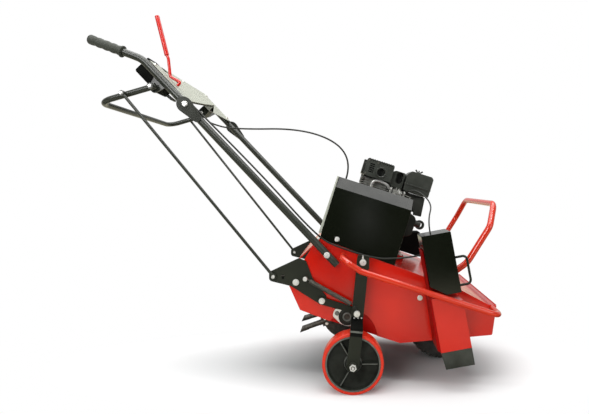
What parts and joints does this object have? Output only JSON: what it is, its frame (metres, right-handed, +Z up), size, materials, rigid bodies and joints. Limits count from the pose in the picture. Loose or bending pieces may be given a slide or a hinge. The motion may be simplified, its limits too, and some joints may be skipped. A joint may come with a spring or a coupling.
{
  "type": "lawn aerator",
  "caption": "Walk-behind lawn aerator with an enclosed tined reel, a small engine under covers, tubular handles and rear wheels that a bail raises and lowers.",
  "frame": {"origin": "on the floor, under the middle of the machine's length and width", "axes": "+X forward, +Y to the machine's left, +Z up"},
  "size_m": [1.4029, 0.709, 1.2606],
  "materials": {
    "red_paint": "gloss red enamel",
    "black_paint": "satin black powder coat",
    "tube_paint": "semi-gloss black powder coat",
    "tray_paint": "pale grey satin sheet",
    "zinc": "bright zinc plating",
    "wheel_red": "red polyurethane",
    "cast_black": "black painted casting",
    "black_rubber": "black rubber",
    "tyre": "black tyre rubber",
    "engine_black": "black engine cowl",
    "engine_alloy": "cast alloy",
    "spring_black": "black oiled spring steel",
    "tine_steel": "dark heat-treated steel",
    "cable_black": "black cable sheath"
  },
  "bodies": {
    "frame": {"air_cleaner": "engine_black", "bail_brackets": "tube_paint", "bearing_plates": "red_paint", "belt_cover": "black_paint", "bumper_rail_left": "red_paint", "bumper_rail_right": "red_paint", "cable_clip": "black_paint", "case_guard": "black_paint", "clutch_cable": "cable_black", "control_box": "black_paint", "control_lever": "red_paint", "control_tray": "tray_paint", "deck_plate": "red_paint", "engine_block": "engine_alloy", "engine_cylinder": "engine_alloy", "fan_housing": "engine_black", "front_fork": "black_paint", "front_hoop": "red_paint", "fuel_tank": "engine_black", "grip_left": "black_rubber", "grip_right": "black_rubber", "guard_handle": "black_paint", "handle_bolts": "zinc", "handle_tube_left": "tube_paint", "handle_tube_right": "tube_paint", "hood_plate": "red_paint", "intake": "engine_black", "lift_pivots_left": "zinc", "lift_pivots_right": "zinc", "mount_rails": "red_paint", "muffler": "engine_black", "nose_plate": "red_paint", "rear_shield": "red_paint", "reel_bearings": "zinc", "rubber_flap": "black_rubber", "side_case": "red_paint", "side_panel_left": "red_paint", "side_panel_right": "red_paint", "speed_cable": "cable_black", "splice_plates": "black_paint", "throttle_cable": "cable_black"},
    "bail": {"bail": "tube_paint"},
    "crank_right": {"crank_right": "black_paint"},
    "leg_right": {"leg_right": "black_paint"},
    "lift_rod_right": {"lift_rod_right": "tube_paint"},
    "lift_link_right": {"lift_link_right": "black_paint"},
    "lift_spring_right": {"lift_spring_right": "spring_black"},
    "right_wheel": {"wheel_core_right": "cast_black", "wheel_tyre_right": "wheel_red"},
    "crank_left": {"crank_left": "black_paint"},
    "leg_left": {"leg_left": "black_paint"},
    "lift_rod_left": {"lift_rod_left": "tube_paint"},
    "lift_link_left": {"lift_link_left": "black_paint"},
    "lift_spring_left": {"lift_spring_left": "spring_black"},
    "left_wheel": {"wheel_core_left": "cast_black", "wheel_tyre_left": "wheel_red"},
    "front_wheel": {"front_tyre": "tyre", "front_rim": "black_paint"},
    "tine_reel": {"tine_reel": "tine_steel"}
  },
  "joints": [
    {"name": "bail_swing", "type": "hinge", "parent": "frame", "child": "bail", "pos_m": [-0.47888, 0, 1.00392], "axis": [0, -1, 0], "range_deg": [0, 63.22]},
    {"name": "crank_right_swing", "type": "hinge", "parent": "frame", "child": "crank_right", "pos_m": [-0.0019, 0, 0.348], "axis": [0, -1, 0], "range_deg": [0, 80.01]},
    {"name": "leg_right_swing", "type": "hinge", "parent": "frame", "child": "leg_right", "pos_m": [0.2241, 0, 0.421], "axis": [0, -1, 0], "range_deg": [-39.92, 0]},
    {"name": "rod_right_swing", "type": "hinge", "parent": "bail", "child": "lift_rod_right", "pos_m": [-0.56988, 0, 0.97972], "axis": [0, -1, 0], "range_deg": [-66.02, 0]},
    {"name": "link_right_swing", "type": "hinge", "parent": "crank_right", "child": "lift_link_right", "pos_m": [0.0861, 0, 0.286], "axis": [0, -1, 0], "range_deg": [-141.65, 0]},
    {"name": "spring_right_swing", "type": "hinge", "parent": "crank_right", "child": "lift_spring_right", "pos_m": [0.0311, 0, 0.363], "axis": [0, -1, 0], "range_deg": [-78.13, 0], "deforming": ["lift_spring_right"]},
    {"name": "right_wheel_spin", "type": "hinge", "parent": "leg_right", "child": "right_wheel", "pos_m": [0.1911, 0, 0.1], "axis": [0, 1, 0], "continuous": true},
    {"name": "crank_left_swing", "type": "hinge", "parent": "frame", "child": "crank_left", "pos_m": [-0.0019, 0, 0.348], "axis": [0, -1, 0], "range_deg": [0, 80.01]},
    {"name": "leg_left_swing", "type": "hinge", "parent": "frame", "child": "leg_left", "pos_m": [0.2241, 0, 0.421], "axis": [0, -1, 0], "range_deg": [-39.92, 0]},
    {"name": "rod_left_swing", "type": "hinge", "parent": "bail", "child": "lift_rod_left", "pos_m": [-0.56988, 0, 0.97972], "axis": [0, -1, 0], "range_deg": [-66.02, 0]},
    {"name": "link_left_swing", "type": "hinge", "parent": "crank_left", "child": "lift_link_left", "pos_m": [0.0861, 0, 0.286], "axis": [0, -1, 0], "range_deg": [-141.65, 0]},
    {"name": "spring_left_swing", "type": "hinge", "parent": "crank_left", "child": "lift_spring_left", "pos_m": [0.0311, 0, 0.363], "axis": [0, -1, 0], "range_deg": [-78.13, 0], "deforming": ["lift_spring_left"]},
    {"name": "left_wheel_spin", "type": "hinge", "parent": "leg_left", "child": "left_wheel", "pos_m": [0.1911, 0, 0.1], "axis": [0, 1, 0], "continuous": true},
    {"name": "front_wheel_spin", "type": "hinge", "parent": "frame", "child": "front_wheel", "pos_m": [0.5331, 0, 0.127], "axis": [0, 1, 0], "continuous": true},
    {"name": "tine_reel_spin", "type": "hinge", "parent": "frame", "child": "tine_reel", "pos_m": [0.1711, 0, 0.231], "axis": [0, 1, 0], "continuous": true}
  ],
  "couplings": [
    {"joint": "crank_right_swing", "follows": "bail_swing", "ratio": 1.2654},
    {"joint": "leg_right_swing", "follows": "bail_swing", "ratio": -0.63128},
    {"joint": "rod_right_swing", "follows": "bail_swing", "ratio": -1.0441},
    {"joint": "link_right_swing", "follows": "bail_swing", "ratio": -2.2404},
    {"joint": "spring_right_swing", "follows": "bail_swing", "ratio": -1.2356},
    {"joint": "crank_left_swing", "follows": "bail_swing", "ratio": 1.2654},
    {"joint": "leg_left_swing", "follows": "bail_swing", "ratio": -0.63128},
    {"joint": "rod_left_swing", "follows": "bail_swing", "ratio": -1.0441},
    {"joint": "link_left_swing", "follows": "bail_swing", "ratio": -2.2404},
    {"joint": "spring_left_swing", "follows": "bail_swing", "ratio": -1.2356}
  ]
}
